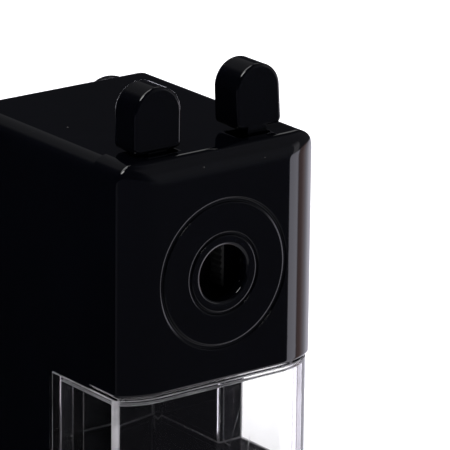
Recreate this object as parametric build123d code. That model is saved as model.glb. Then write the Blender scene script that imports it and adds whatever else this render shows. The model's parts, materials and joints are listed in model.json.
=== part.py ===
from build123d import *
import math
import os

os.makedirs("parts", exist_ok=True)

# ---------------------------------------------------------------- driving dimensions (mm)
# Frame: +X to the right seen from the front, +Y from the face towards the crank, +Z up,
# Z = 0 on the desk, Y = 0 half way along the base.
AXIS_Z = 58.5            # height of the pencil, rotor and crank axis
FACE_Y = -27.5           # front face of the pencil holder
HALF_W = 23.3            # half width of housing, base and face
BACK_D = 55.5            # depth from the face to the back wall
SEAM_D = 11.6            # depth of the seam between pencil holder and housing
BODY_TOP = 23.8          # top of the housing above the axis
UNIT_TOP = 24.35         # top of the pencil holder above the axis
UNIT_BOT = -21.3         # bottom of the pencil holder
BODY_BOT = -21.65        # bottom of the housing over the drawer bay
BAY_D = 24.6             # depth of the drawer bay
FLOOR_Z = 12.0           # top of the housing's floor
EDGE_R = 4.0             # rounding of the long top edges
WALL = 2.0               # housing wall
HOLE_R = 5.45            # pencil hole
RING_1 = (14.1, 15.0)    # outer ring groove, inner and outer radius
RING_2 = (7.55, 8.25)    # inner ring groove
GROOVE = 0.45            # depth of the ring grooves
CORNER_SET = 3.2         # how far the face curves back at its sides
CORNER_FLAT = 14.3       # half width of the flat middle of the face
TOP_SET = 2.8            # how far the face curves back at its top
TOP_START = 20.0         # height at which the face starts to curve back
TRAVEL = 24.0            # forward travel of the pencil holder
ROD_X, ROD_Z, ROD_R = 18.0, -13.0, 1.5
PIVOT_X, PIVOT_Z, PIN_R = 8.5, 13.5, 1.25
CONE = 11.0              # half angle of the sharpened cone, and tilt of the cutter
CUTTER_R = 5.5
TIP_D = 38.0             # depth of the pencil's tip
Z_PIN, Z_RING = 14, 42   # teeth on the cutter's pinion and in the fixed ring
CRANK_R = 33.5           # throw of the crank
CRANK_A = 15.0           # crank angle above +X as the sharpener stands
KNOB_D0, KNOB_D1 = 62.3, 86.3
PRESS = 0.01             # room left round pressed and screwed-in pieces

parts = {}


def Yd(d):
    return FACE_Y + d


def Zh(h):
    return AXIS_Z + h


def block(x0, x1, y0, y1, z0, z1):
    return Pos((x0 + x1) / 2, (y0 + y1) / 2, (z0 + z1) / 2) * Box(abs(x1 - x0), abs(y1 - y0), abs(z1 - z0))


def rod_y(x, z, r, y0, y1):
    return Pos(x, (y0 + y1) / 2, z) * Rot(90, 0, 0) * Cylinder(r, y1 - y0)


def rod_z(x, y, r, z0, z1):
    return Pos(x, y, (z0 + z1) / 2) * Cylinder(r, z1 - z0)


def rod_x(y, z, r, x0, x1):
    return Pos((x0 + x1) / 2, y, z) * Rot(0, 90, 0) * Cylinder(r, x1 - x0)


def ext_y(face, y0, y1):
    """A profile drawn as (X, Z) on the XY plane, made solid from y0 to y1."""
    return Pos(0, y1, 0) * Rot(90, 0, 0) * extrude(face, y1 - y0)


def ext_z(face, z0, z1):
    return Pos(0, 0, z0) * extrude(face, z1 - z0)


def ext_x(face, x0, x1):
    """A profile drawn as (Y, Z) on the XY plane, made solid from x0 to x1."""
    return Pos(x0, 0, 0) * (Plane.YZ * extrude(face, x1 - x0))


def poly(*pts):
    return make_face(Polyline(*pts, close=True))


def arch_profile(half, z0, z1, r):
    """Rectangle with rounded top corners, as (X, Z)."""
    c = math.sqrt(0.5) * r
    return make_face(Wire([
        Line((-half, z0), (half, z0)), Line((half, z0), (half, z1 - r)),
        ThreePointArc((half, z1 - r), (half - r + c, z1 - r + c), (half - r, z1)),
        Line((half - r, z1), (-half + r, z1)),
        ThreePointArc((-half + r, z1), (-half + r - c, z1 - r + c), (-half, z1 - r)),
        Line((-half, z1 - r), (-half, z0))]))


def bowed_plan(half, flat, front, back, setback):
    """Plan with a flat front and sides that curve back, as (X, Y)."""
    run = half - flat
    R = (run * run + setback * setback) / (2 * setback)
    a = math.asin(run / R) / 2
    mx, my = flat + R * math.sin(a), front + R - R * math.cos(a)
    return make_face(Wire([
        Line((-flat, front), (flat, front)),
        ThreePointArc((flat, front), (mx, my), (half, front + setback)),
        Line((half, front + setback), (half, back)), Line((half, back), (-half, back)),
        Line((-half, back), (-half, front + setback)),
        ThreePointArc((-half, front + setback), (-mx, my), (-flat, front))]))


def put(name, shape):
    shape.label = name
    parts[name] = shape


# ---------------------------------------------------------------- housing
y_seam, y_back, y_bay = Yd(SEAM_D), Yd(BACK_D), Yd(BAY_D)
z_top, z_bot = Zh(BODY_TOP), Zh(BODY_BOT)
FLOOR_T = 2.5
outer = ext_y(arch_profile(HALF_W, FLOOR_Z - FLOOR_T, z_top, EDGE_R), FACE_Y - 1, y_back)
outer = fillet(outer.edges().filter_by(lambda e: abs(e.center().Y - y_back) < 0.01 and e.center().Z > FLOOR_Z - 1), 1.5)
# the floor under the drawer follows the bowed front of the face
outer &= ext_z(bowed_plan(HALF_W, CORNER_FLAT, FACE_Y, y_back + 1, CORNER_SET), 0, z_top + 1)
housing = outer
housing -= block(-30, 30, FACE_Y - 5, y_seam, z_bot, z_top + 5)          # room for the pencil holder
bay = block(-30, 30, FACE_Y - 5, y_bay, FLOOR_Z, z_bot + 0.01)
bay = fillet(bay.edges().filter_by(Axis.X).filter_by(lambda e: abs(e.center().Y - y_bay) < 0.01 and e.center().Z < FLOOR_Z + 1), 3.0)
housing -= bay
# upper chamber for the cutter, open at the front
housing -= block(-HALF_W + WALL, HALF_W - WALL, y_seam - 1, y_back - WALL, z_bot + WALL, z_top - WALL)
# lower chamber for the back of the drawer
housing -= block(-HALF_W + WALL, HALF_W - WALL, y_bay + WALL, y_back - WALL, FLOOR_Z, z_bot - WALL)
housing -= block(-17.9, 17.9, y_bay - 5, y_bay + WALL + 1, FLOOR_Z, z_bot - WALL)
# chute for the shavings, from the cutter down to the drawer
housing -= block(-11.0, 11.0, Yd(24.8), Yd(43.0), z_bot - WALL - 1, z_bot + WALL + 1)
# bosses for the bulkhead screws
BULK_SCREWS = [(-18.4, 18.2), (18.4, 18.2), (-13.5, -16.9), (13.5, -16.9)]
for x, z in BULK_SCREWS:
    r = 3.1 if z > 0 else 2.6
    boss = rod_y(x, Zh(z), r, Yd(14.6), Yd(24.0))
    if z > 0:                                     # web to the side wall, or to the chamber's floor
        boss += block(x, math.copysign(21.8, x), Yd(14.6), Yd(24.0), Zh(z) - 2.4, Zh(z) + 2.4)
    else:
        boss += block(x - 2.2, x + 2.2, Yd(14.6), Yd(24.0), z_bot + 1.0, Zh(z))
    housing += boss - rod_y(x, Zh(z), 1.02, Yd(14.0), Yd(22.5))
# collar round the rear bushing
housing += rod_y(0, AXIS_Z, 9.0, y_back - 0.01, y_back + 1.3)
housing -= rod_y(0, AXIS_Z, 5.8, y_back - 5, y_back + 3)
# pillars of the housing that take the base screws
BASE_SCREWS = [(x, y) for x in (-17.0, 17.0) for y in (-10.5, 10.5)]
for x, y in BASE_SCREWS:
    housing += rod_z(x, y, 3.0, 4.4, FLOOR_Z - 1.0)
    housing -= rod_z(x, y, 1.22, 3.0, 11.0)
# moulded in two halves and welded: the housing round the cutter, and the frame round the drawer
put("housing", housing & block(-40, 40, FACE_Y - 5, y_back + 5, z_bot + PRESS / 2, z_top + 5))
put("drawer_frame", housing & block(-40, 40, FACE_Y - 5, y_back + 5, 0, z_bot - PRESS / 2))

# ---------------------------------------------------------------- base, rubber sole and the screws
BASE_Z0, BASE_Z1 = 1.5, FLOOR_Z - FLOOR_T
SOLE_Z1 = 2.0            # the sole sits in a recess of the base
plan = bowed_plan(HALF_W, CORNER_FLAT, FACE_Y, y_back, CORNER_SET)
base = ext_z(plan, BASE_Z0, BASE_Z1)
base = fillet(base.edges().filter_by(Axis.Z).filter_by(lambda e: e.center().Y > 0), 1.5)
base = fillet(base.edges().filter_by(lambda e: abs(e.center().Z - BASE_Z0) < 0.01), 0.8)
base -= block(-HALF_W + 2, HALF_W - 2, Yd(6.0), y_back - 2, BASE_Z0 + 2.8, BASE_Z1 + 1)


def sole_plan(inset):
    return bowed_plan(HALF_W - inset, CORNER_FLAT - 1, FACE_Y + inset, y_back - inset, CORNER_SET - 0.4)


# clamp socket: a tube right across the base
SOCKET_R, SOCKET_Z = 2.6, 5.8
base += block(-HALF_W + 1, HALF_W - 1, -4.0, 4.0, BASE_Z0 + 1, BASE_Z1)
base -= rod_x(0, SOCKET_Z, SOCKET_R, -30, 30)
base -= ext_z(sole_plan(2.6 - PRESS), BASE_Z0 - 1, SOLE_Z1)
sole = ext_z(sole_plan(2.6), 0, SOLE_Z1 - PRESS)
sole = fillet(sole.edges().filter_by(Axis.Z).filter_by(lambda e: e.center().Y > 0), 1.0)
sole = fillet(sole.edges().filter_by(lambda e: e.center().Z < 0.01), 0.4)
screws = []
for x, y in BASE_SCREWS:
    sole -= rod_z(x, y, 3.1, -1, SOLE_Z1 + 1)
    base -= rod_z(x, y, 1.4, 0, BASE_Z1)
    base -= rod_z(x, y, 2.6, 0, SOLE_Z1 + 1.12)
    s = rod_z(x, y, 2.4, SOLE_Z1 + 0.1, SOLE_Z1 + 1.1) + rod_z(x, y, 1.2, SOLE_Z1 + 1.0, 9.8)
    s -= block(x - 1.5, x + 1.5, y - 0.3, y + 0.3, SOLE_Z1, SOLE_Z1 + 0.6)
    s -= block(x - 0.3, x + 0.3, y - 1.5, y + 1.5, SOLE_Z1, SOLE_Z1 + 0.6)
    screws.append(s)
put("base", base)
put("rubber_sole", sole)
put("base_screws", Compound(children=screws))

# ---------------------------------------------------------------- drawer
DR_HALF = 23.0
dr_top, dr_bot = Zh(BODY_BOT) - 0.3, FLOOR_Z + 0.3
DR_W = 1.8
wide = ext_z(bowed_plan(DR_HALF, CORNER_FLAT, Yd(0.4), Yd(BAY_D - 0.3), CORNER_SET), dr_bot, dr_top)
wide = fillet(wide.edges().filter_by(Axis.X).filter_by(lambda e: abs(e.center().Y - Yd(BAY_D - 0.3)) < 0.01 and e.center().Z < FLOOR_Z + 1), 3.2)
narrow = block(-17.4, 17.4, Yd(15), Yd(44.5), dr_bot, z_bot - WALL - 0.5)
drawer = wide + narrow
RIM_H, RIM_W = 1.3, 0.6    # thicker rim round the top
for w, z1 in ((DR_W, dr_top - RIM_H), (DR_W + RIM_W, dr_top + 1)):
    drawer -= ext_z(bowed_plan(DR_HALF - w, CORNER_FLAT, Yd(0.4 + w), Yd(BAY_D - 0.3 - w), CORNER_SET - 0.5), dr_bot + DR_W, z1)
drawer -= block(-17.4 + DR_W, 17.4 - DR_W, Yd(15), Yd(44.5 - DR_W), dr_bot + DR_W, dr_top + 1)
put("drawer", drawer)

# ---------------------------------------------------------------- bulkhead and front bushing
BH0, BH1 = 11.7, 14.5
bulkhead = ext_y(arch_profile(21.1, Zh(-19.4), Zh(21.6), 2.0), Yd(BH0), Yd(BH1))
bulkhead -= rod_y(0, AXIS_Z, 9.5, Yd(BH0 - 1), Yd(BH1 + 1))
for sx in (-1, 1):
    bulkhead -= rod_y(sx * ROD_X, Zh(ROD_Z), ROD_R + 0.06, Yd(BH0 - 1), Yd(BH1 + 1))
bscrews = []
for x, z in BULK_SCREWS:
    bulkhead -= rod_y(x, Zh(z), 1.2, Yd(BH0 - 1), Yd(BH1 + 1))
    bulkhead -= rod_y(x, Zh(z), 2.1, Yd(BH0 - 1), Yd(BH0 + 1.3))
    s = rod_y(x, Zh(z), 2.0, Yd(BH0 + 0.15), Yd(BH0 + 1.3)) + rod_y(x, Zh(z), 1.0, Yd(BH0 + 1.2), Yd(21.5))
    s -= block(x - 1.4, x + 1.4, Yd(BH0), Yd(BH0 + 0.7), Zh(z) - 0.25, Zh(z) + 0.25)
    s -= block(x - 0.25, x + 0.25, Yd(BH0), Yd(BH0 + 0.7), Zh(z) - 1.4, Zh(z) + 1.4)
    bscrews.append(s)
RING_SCREWS = [(16.6 * math.cos(math.radians(a)), 16.6 * math.sin(math.radians(a))) for a in (30, 150, 270)]
for x, z in RING_SCREWS:
    bulkhead -= rod_y(x, Zh(z), 0.92, Yd(BH0 + 0.4), Yd(BH1 + 1))
put("bulkhead", bulkhead)
put("bulkhead_screws", Compound(children=bscrews))
NECK_R = 8.0
bush = rod_y(0, AXIS_Z, 9.5 - PRESS, Yd(BH0), Yd(BH1 + 0.1)) + rod_y(0, AXIS_Z, 10.4, Yd(BH1), Yd(BH1 + 0.7))
bush -= rod_y(0, AXIS_Z, NECK_R + 0.05, Yd(BH0 - 1), Yd(BH1 + 2))
put("front_bushing", bush)

# ---------------------------------------------------------------- gear teeth on matching cones
alpha = math.radians(CONE)
k = Z_PIN / Z_RING
pin_half = math.atan(k * math.sin(alpha) / (1 - k * math.cos(alpha)))   # half angle of the pinion's pitch cone
ring_half = pin_half + alpha                                            # half angle of the ring's pitch cone
APEX_D = TIP_D + CUTTER_R / math.cos(alpha) / math.tan(alpha)           # where cutter axis and main axis cross
GEAR_D = 21.7                                                           # depth of the middle of the teeth
ring_pitch = (APEX_D - GEAR_D) * math.tan(ring_half)
cone_len = ring_pitch / math.sin(ring_half)
pin_pitch = cone_len * math.sin(pin_half)
MOD = 2 * ring_pitch / Z_RING
ACTION = math.radians(20)


def tooth_points(z, pitch, add, ded, thin, internal):
    """Outline of a gear (or of the hole of an internal gear) with involute flanks, one tooth at angle 0."""
    base_r = pitch * math.cos(ACTION)
    inv = math.tan(ACTION) - ACTION
    lo, hi = (pitch - ded, pitch + add)
    half0 = math.pi / (2 * z) - thin / pitch / 2
    pts = []
    radii = [lo, max(lo, base_r) + 0.02, (max(lo, base_r) + pitch) / 2, pitch, (pitch + hi) / 2, hi]
    radii = sorted(set(round(r, 5) for r in radii))

    def half_at(r):
        if r <= base_r:
            return half0 + inv
        a = math.acos(base_r / r)
        return half0 + inv - (math.tan(a) - a)

    for i in range(z):
        c = 2 * math.pi * i / z
        for r in radii:
            pts.append((r * math.cos(c - half_at(r)), r * math.sin(c - half_at(r))))
        for r in reversed(radii):
            pts.append((r * math.cos(c + half_at(r)), r * math.sin(c + half_at(r))))
    return pts


def toothed_cone(points, s0, s1):
    """Solid between two scaled copies of an outline; scale 1 is at height 0, the cone's tip is above."""
    sections = []
    for s, h in (s0, s1):
        sections.append(Pos(0, 0, h) * make_face(Polyline(*[(x * s, y * s) for x, y in points], close=True)))
    return loft(sections, ruled=True)


# ---------------------------------------------------------------- ring gear, fixed to the bulkhead
RG0, RG1 = 14.5, 24.0
T0, T1 = 19.4, 24.0
ring = rod_y(0, AXIS_Z, 18.4, Yd(RG0), Yd(RG1))
ring -= rod_y(0, AXIS_Z, 13.9, Yd(RG0 - 1), Yd(T0))
# the hole's outline is an external gear outline whose teeth are the ring's tooth spaces
ring_pts = tooth_points(Z_RING, ring_pitch, 0.95 * MOD, 0.78 * MOD, -0.16, True)
sc = lambda d: (APEX_D - d) / (APEX_D - GEAR_D)
# (turned by half a pitch below so that a tooth space of the ring faces the pinion's tooth)
hole = toothed_cone(ring_pts, (sc(T0 - 0.3), 0), (sc(T1 + 0.5), (T1 + 0.5) - (T0 - 0.3)))
hole = Rot(0, 0, 90) * hole                       # a tooth space at the outline's angle 90
# outline's (x, y, height) to world (X, -Z, Y): the tooth space ends straight below the axis
hole = Pos(0, Yd(T0 - 0.3), AXIS_Z) * Rot(-90, 0, 0) * hole
ring -= hole
rscrews = []
for x, z in RING_SCREWS:
    ring -= rod_y(x, Zh(z), 1.05, Yd(RG0 - 1), Yd(RG1 + 1))
    ring -= rod_y(x, Zh(z), 1.65, Yd(RG1 - 1.3), Yd(RG1 + 1))
    s = rod_y(x, Zh(z), 1.6, Yd(RG1 - 1.3), Yd(RG1 - 0.2)) + rod_y(x, Zh(z), 0.9, Yd(12.4), Yd(RG1 - 1.2))
    s -= block(x - 1.2, x + 1.2, Yd(RG1 - 0.8), Yd(RG1), Zh(z) - 0.2, Zh(z) + 0.2)
    rscrews.append(s)
put("ring_gear", ring)
put("ring_gear_screws", Compound(children=rscrews))

# ---------------------------------------------------------------- cutter on its tilted axle (below the pencil)
# The axle's axis: distance d under the main axis is (APEX_D - depth) * tan(CONE).
tilt = Pos(0, Yd(APEX_D), AXIS_Z) * Rot(CONE, 0, 0)     # local -Y runs from the apex towards the face


def along(solid):
    """Places a solid drawn with its axis on Y, origin at the apex, onto the cutter's axis."""
    return tilt * solid


def slant(depth):
    """Local Y of the point on the cutter's axis at this depth."""
    return -(APEX_D - depth) / math.cos(alpha)


def local_rod(r, d0, d1):
    a, b = slant(d0), slant(d1)
    return Pos(0, (a + b) / 2, 0) * Rot(90, 0, 0) * Cylinder(r, b - a)


AXLE_R = 1.5
axle = along(local_rod(AXLE_R, 16.2, 46.6))
put("cutter_axle", axle)

# pinion: a bevel with the ring's apex
pin_mid = cone_len * math.cos(pin_half)                  # distance apex to the pinion's middle, along its axis
PIN_D = APEX_D - pin_mid * math.cos(alpha)               # depth of the pinion's middle
PIN_W = 3.4
pin_pts = tooth_points(Z_PIN, pin_pitch, 0.72 * MOD, 0.98 * MOD, 0.16, False)
p0, p1 = pin_mid + PIN_W / 2, pin_mid - PIN_W / 2
pin_solid = toothed_cone(pin_pts, (p0 / pin_mid, 0), (p1 / pin_mid, PIN_W))
pin_solid = Rot(0, 0, 90) * pin_solid                    # a tooth at the outline's angle 90
pin_solid = Pos(0, -p0, 0) * Rot(-90, 0, 0) * pin_solid  # outline's +y goes to -Z, height to +Y
pin_solid -= Pos(0, -pin_mid, 0) * Rot(90, 0, 0) * Cylinder(2.2, 10)
pinion = along(pin_solid)
put("cutter_pinion", pinion)

# helical cutter: flutes that wind round the roller
C0, C1 = 25.2, 43.2
flutes, sects, wind = 10, 7, 50.0
cut_len = slant(C1) - slant(C0)
fpts = []
for i in range(flutes):
    c = 2 * math.pi * i / flutes
    w = 2 * math.pi / flutes
    fpts += [(CUTTER_R * math.cos(c), CUTTER_R * math.sin(c)),
             (CUTTER_R * math.cos(c + 0.16 * w), CUTTER_R * math.sin(c + 0.16 * w)),
             ((CUTTER_R - 0.75) * math.cos(c + 0.42 * w), (CUTTER_R - 0.75) * math.sin(c + 0.42 * w)),
             ((CUTTER_R - 0.9) * math.cos(c + 0.86 * w), (CUTTER_R - 0.9) * math.sin(c + 0.86 * w))]
rings = []
for j in range(sects):
    t = j / (sects - 1)
    rings.append(Pos(0, 0, t * cut_len) * Rot(0, 0, wind * t) * make_face(Polyline(*fpts, close=True)))
roller = loft(rings, ruled=True)
roller = Pos(0, slant(C0), 0) * Rot(-90, 0, 0) * roller
roller += local_rod(2.2 - PRESS, PIN_D - 2.1, C0 + 0.1)          # sleeve that the pinion is pressed on
roller += local_rod(3.4, PIN_D + 1.8, C0 + 0.05)
roller -= local_rod(AXLE_R + 0.05, 10, 50)
put("helical_cutter", along(roller))

# ---------------------------------------------------------------- cutter cage
cage = rod_y(0, AXIS_Z, NECK_R, Yd(11.9), Yd(15.6)) + rod_y(0, AXIS_Z, 13.0, Yd(15.5), Yd(17.9))
cage += rod_y(0, AXIS_Z, 9.0, Yd(44.5), Yd(47.6)) + rod_y(0, AXIS_Z, 6.0, Yd(47.5), Yd(52.6))
arm = rod_y(0, AXIS_Z, 10.6, Yd(17.8), Yd(44.6)) - rod_y(0, AXIS_Z, 6.6, Yd(17), Yd(45))
arm &= ext_y(poly((0, Zh(0)), (14, Zh(3.2)), (14, Zh(14)), (-14, Zh(14)), (-14, Zh(3.2))), Yd(17), Yd(45))
cage += arm
cage -= rod_y(0, AXIS_Z, 5.65, Yd(10), Yd(18.5))                   # the pencil passes through the neck
cage -= along(local_rod(AXLE_R + PRESS, 15.9, 47.0))
cage -= rod_y(0, AXIS_Z, 3.0 + PRESS, Yd(48.6), Yd(54))
cage -= rod_z(0, Yd(16.75), 0.82, Zh(-14), Zh(-9.8))              # tapped hole of the axle's set screw
put("cutter_cage", cage)
sset = rod_z(0, Yd(16.75), 0.8, Zh(-12.9), Zh(-(APEX_D - 16.75) * math.tan(alpha) - AXLE_R - 0.12))
sset -= block(-0.15, 0.15, Yd(16.0), Yd(17.5), Zh(-13), Zh(-12.6))
put("axle_set_screw", sset)

# ---------------------------------------------------------------- rear bushing, crank shaft and crank
bush = rod_y(0, AXIS_Z, 5.8 - PRESS, Yd(53.45), Yd(56.9)) + rod_y(0, AXIS_Z, 7.4, Yd(52.9), Yd(53.5))
bush -= rod_y(0, AXIS_Z, 4.05, Yd(52), Yd(58))
put("rear_bushing", bush)

shaft = rod_y(0, AXIS_Z, 3.0, Yd(48.7), Yd(53.0)) + rod_y(0, AXIS_Z, 4.0, Yd(52.8), Yd(57.6))
square = block(-2.3, 2.3, Yd(57.5), Yd(61.3), Zh(-2.3), Zh(2.3))
shaft += square
shaft -= rod_y(0, AXIS_Z, 1.27, Yd(54), Yd(62))
put("crank_shaft", shaft)
washer = rod_y(0, AXIS_Z, 6.2, Yd(57.65), Yd(58.3)) - block(-2.4, 2.4, Yd(57), Yd(59), Zh(-2.4), Zh(2.4))
put("crank_washer", washer)

ca, sa = math.cos(math.radians(CRANK_A)), math.sin(math.radians(CRANK_A))
KX, KZ = CRANK_R * ca, Zh(CRANK_R * sa)
ARM0, ARM1 = 58.3, 61.3


def arm_profile():
    n = (-sa, ca)
    p = lambda along_, side: (along_ * ca + side * n[0], AXIS_Z + along_ * sa + side * n[1])
    body = poly(p(0, -6.5), p(CRANK_R, -4.6), p(CRANK_R, 4.6), p(0, 6.5))
    body += Pos(0, AXIS_Z) * Circle(6.5)
    body += Pos(KX, KZ) * Circle(4.6)
    return body


crank_arm = ext_y(arm_profile(), Yd(ARM0), Yd(ARM1))
crank_arm = fillet(crank_arm.edges().filter_by(lambda e: abs(e.center().Y - Yd(ARM1)) < 0.01), 0.6)
crank_arm -= block(-2.32, 2.32, Yd(50), Yd(65), Zh(-2.32), Zh(2.32))
crank_arm -= rod_y(KX, KZ, 1.9, Yd(50), Yd(65))
put("crank_arm", crank_arm)
cs = rod_y(0, AXIS_Z, 4.2, Yd(61.35), Yd(63.3)) + rod_y(0, AXIS_Z, 1.25, Yd(54.6), Yd(61.4))
cs = fillet(cs.edges().filter_by(lambda e: abs(e.center().Y - Yd(63.3)) < 0.01), 0.9)
cs -= block(-3.2, 3.2, Yd(62.4), Yd(64), Zh(-0.45), Zh(0.45))
cs -= block(-0.45, 0.45, Yd(62.4), Yd(64), Zh(-3.2), Zh(3.2))
put("crank_screw", cs)
pin = rod_y(KX, KZ, 1.9 - PRESS, Yd(58.4), Yd(61.6)) + rod_y(KX, KZ, 1.7, Yd(61.5), Yd(84.4)) + rod_y(KX, KZ, 2.8, Yd(61.4), Yd(62.0))
pin += rod_y(KX, KZ, 2.7, Yd(84.3), Yd(85.2))
put("knob_pin", pin)

knob = make_face(Wire([
    Line((1.76, KNOB_D0), (4.3, KNOB_D0)), ThreePointArc((4.3, KNOB_D0), (4.75, KNOB_D0 + 0.25), (4.95, KNOB_D0 + 0.8)),
    Spline((4.95, KNOB_D0 + 0.8), (4.7, KNOB_D0 + 7.5), (5.35, KNOB_D0 + 15), (5.75, KNOB_D1 - 4.0), tangents=[(-0.02, 1), (0.0, 1)]),
    ThreePointArc((5.75, KNOB_D1 - 4.0), (4.6, KNOB_D1 - 1.15), (3.3, KNOB_D1)),
    Line((3.3, KNOB_D1), (3.1, KNOB_D1)), Line((3.1, KNOB_D1), (3.1, 84.1)), Line((3.1, 84.1), (1.76, 84.1)),
    Line((1.76, 84.1), (1.76, KNOB_D0))]))
knob = revolve(knob, Axis.Y, 360)
knob = Pos(KX, FACE_Y, KZ) * knob
put("crank_knob", knob)

# ---------------------------------------------------------------- pencil holder: face, chuck plate, rods
u_front, u_back = FACE_Y, Yd(SEAM_D - 0.2)
run, rise = UNIT_TOP - TOP_START, TOP_SET
TR = (run * run + rise * rise) / (2 * rise)
ta = math.asin(run / TR) / 2
side = make_face(Wire([
    Line((u_front, Zh(UNIT_BOT)), (u_front, Zh(TOP_START))),
    ThreePointArc((u_front, Zh(TOP_START)), (u_front + TR - TR * math.cos(ta), Zh(TOP_START) + TR * math.sin(ta)), (u_front + TOP_SET, Zh(UNIT_TOP))),
    Line((u_front + TOP_SET, Zh(UNIT_TOP)), (u_back, Zh(UNIT_TOP))), Line((u_back, Zh(UNIT_TOP)), (u_back, Zh(UNIT_BOT))),
    Line((u_back, Zh(UNIT_BOT)), (u_front, Zh(UNIT_BOT)))]))
face = ext_y(arch_profile(HALF_W, Zh(UNIT_BOT), Zh(UNIT_TOP), EDGE_R), u_front - 1, u_back)
face &= ext_z(bowed_plan(HALF_W, CORNER_FLAT, u_front, u_back + 1, CORNER_SET), Zh(-30), Zh(30))
face &= ext_x(side, -30, 30)
# hollow behind the front wall
FW = 2.3
inner = ext_z(poly((-13.5, Yd(FW)), (13.5, Yd(FW)), (21.1, Yd(5.0)), (21.1, Yd(12)), (-21.1, Yd(12)), (-21.1, Yd(5.0))), Zh(-19.2), Zh(22.3))
inner &= ext_x(poly((Yd(FW), Zh(-19.2)), (Yd(12), Zh(-19.2)), (Yd(12), Zh(22.3)), (Yd(5.0), Zh(22.3)), (Yd(FW), Zh(18.0))), -30, 30)
face -= inner
for sx in (-1, 1):
    face += rod_y(sx * PIVOT_X, Zh(PIVOT_Z), 2.3, Yd(FW - 0.1), Yd(5.4))
    face -= rod_y(sx * PIVOT_X, Zh(PIVOT_Z), PIN_R + PRESS, Yd(1.4), Yd(6))
CHUCK_SCREWS = [(-18.2, 18.8), (18.2, 18.8), (0, -15.6)]
for x, z in CHUCK_SCREWS:
    face += rod_y(x, Zh(z), 2.3, Yd(2.2 if z < 0 else 4.0), Yd(9.2))
    face -= rod_y(x, Zh(z), 0.92, Yd(4.8), Yd(10))
face -= rod_y(0, AXIS_Z, HOLE_R, u_front - 1, Yd(4))
face = fillet(face.edges().filter_by(GeomType.CIRCLE).filter_by(lambda e: abs(e.radius - HOLE_R) < 0.001 and e.center().Y < u_front + 0.01), 0.8)
for r0, r1 in (RING_1, RING_2):
    face -= rod_y(0, AXIS_Z, r1, u_front - 1, u_front + GROOVE) - rod_y(0, AXIS_Z, r0, u_front - 2, u_front + 2)
SLOT_X = (7.0, 14.8)
for sx in (-1, 1):
    slot = block(sx * SLOT_X[0], sx * SLOT_X[1], Yd(4.7), Yd(10.3), Zh(21), Zh(26))
    slot = fillet(slot.edges().filter_by(Axis.Z), 1.2)
    face -= slot
put("face_plate", face)

chuck = ext_y(arch_profile(20.9, Zh(-19.0), Zh(22.1), 1.0), Yd(9.3), Yd(11.3))
chuck -= rod_y(0, AXIS_Z, 6.0, Yd(9), Yd(12))
for sx in (-1, 1):
    chuck += rod_y(sx * ROD_X, Zh(ROD_Z), 2.6, Yd(5.4), Yd(9.4))
    chuck -= rod_y(sx * ROD_X, Zh(ROD_Z), ROD_R + PRESS, Yd(6.2), Yd(12))
    chuck -= rod_y(sx * PIVOT_X, Zh(PIVOT_Z), PIN_R + PRESS, Yd(9), Yd(10.8))
cscrews = []
for x, z in CHUCK_SCREWS:
    chuck -= rod_y(x, Zh(z), 1.1, Yd(9), Yd(12))
    chuck -= rod_y(x, Zh(z), 2.0, Yd(10.2), Yd(12))
    s = rod_y(x, Zh(z), 1.9, Yd(10.2), Yd(11.2)) + rod_y(x, Zh(z), 0.9, Yd(5.2), Yd(10.3))
    s -= block(x - 1.3, x + 1.3, Yd(10.7), Yd(12), Zh(z) - 0.25, Zh(z) + 0.25)
    s -= block(x - 0.25, x + 0.25, Yd(10.7), Yd(12), Zh(z) - 1.3, Zh(z) + 1.3)
    cscrews.append(s)
put("chuck_plate", chuck)
put("chuck_screws", Compound(children=cscrews))

ROD_END = 49.4
rods, clips, springs = [], [], []
CLIP0, CLIP1 = 47.6, 48.2
for sx in (-1, 1):
    x, z = sx * ROD_X, Zh(ROD_Z)
    r = rod_y(x, z, ROD_R, Yd(6.3), Yd(ROD_END))
    r -= rod_y(x, z, ROD_R + 1, Yd(CLIP0), Yd(CLIP1)) - rod_y(x, z, 1.1, Yd(CLIP0 - 1), Yd(CLIP1 + 1))
    r = chamfer(r.edges().filter_by(lambda e: abs(e.center().Y - Yd(ROD_END)) < 0.01), 0.3)
    rods.append(r)
    c = rod_y(x, z, 2.7, Yd(CLIP0 + 0.02), Yd(CLIP1 - 0.02)) - rod_y(x, z, 1.12, Yd(CLIP0 - 1), Yd(CLIP1 + 1))
    c -= block(x - 0.9, x + 0.9, Yd(CLIP0 - 1), Yd(CLIP1 + 1), z, z + 4)
    clips.append(c)
put("guide_rods", Compound(children=rods))
put("rod_clips", Compound(children=clips))

# return springs: steel wire wound round the rods
WIRE, COIL_R, TURNS = 0.5, 2.2, 11
S0, S1 = BH1 + 0.1 + WIRE / 2, CLIP0 - 0.05 - WIRE / 2
for sx in (-1, 1):
    helix = Helix(pitch=(S1 - S0) / TURNS, height=S1 - S0, radius=COIL_R)
    wire = sweep(Plane(origin=helix @ 0, z_dir=helix % 0) * Circle(WIRE / 2), path=helix)
    springs.append(Pos(sx * ROD_X, Yd(S0), Zh(ROD_Z)) * Rot(-90, 0, 0) * wire)
put("return_springs", Compound(children=springs))

pins = []
for sx in (-1, 1):
    pins.append(rod_y(sx * PIVOT_X, Zh(PIVOT_Z), PIN_R, Yd(1.6), Yd(10.6)))
put("lever_pins", Compound(children=pins))

# ---------------------------------------------------------------- jaw levers with their finger tabs
LV0, LV1 = 5.6, 9.0
EAR0, EAR1 = 5.4, 12.3
JAW_GAP = 3.3


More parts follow.
